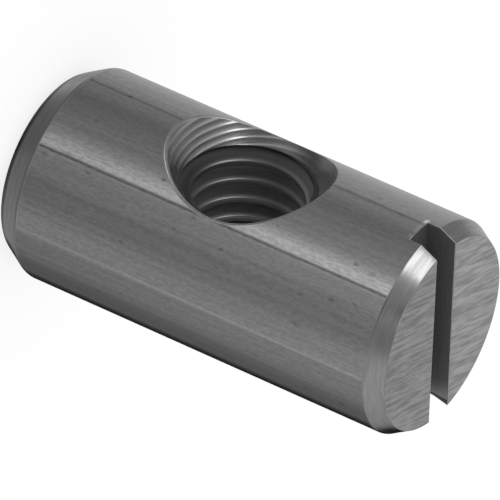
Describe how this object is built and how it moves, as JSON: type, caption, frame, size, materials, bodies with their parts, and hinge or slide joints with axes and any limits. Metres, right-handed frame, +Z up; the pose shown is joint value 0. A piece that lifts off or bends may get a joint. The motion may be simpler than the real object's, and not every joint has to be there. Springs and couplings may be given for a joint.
{
  "type": "cross dowel",
  "caption": "Round steel cross dowel with bevelled ends, a tapped cross hole with flared mouths, and a driver slot across one end.",
  "frame": {"origin": "centre of the plain end's flat face, on which the dowel stands", "axes": "+Z up the barrel's axis to the slotted end; the tapped hole and the driver slot run along Y"},
  "size_m": [0.0098, 0.0098, 0.02],
  "materials": {
    "steel": "bare drawn bar on the side, turned bevels, end faces with fine parallel saw marks"
  },
  "bodies": {
    "root": {"cross_dowel": "steel"}
  },
  "joints": []
}
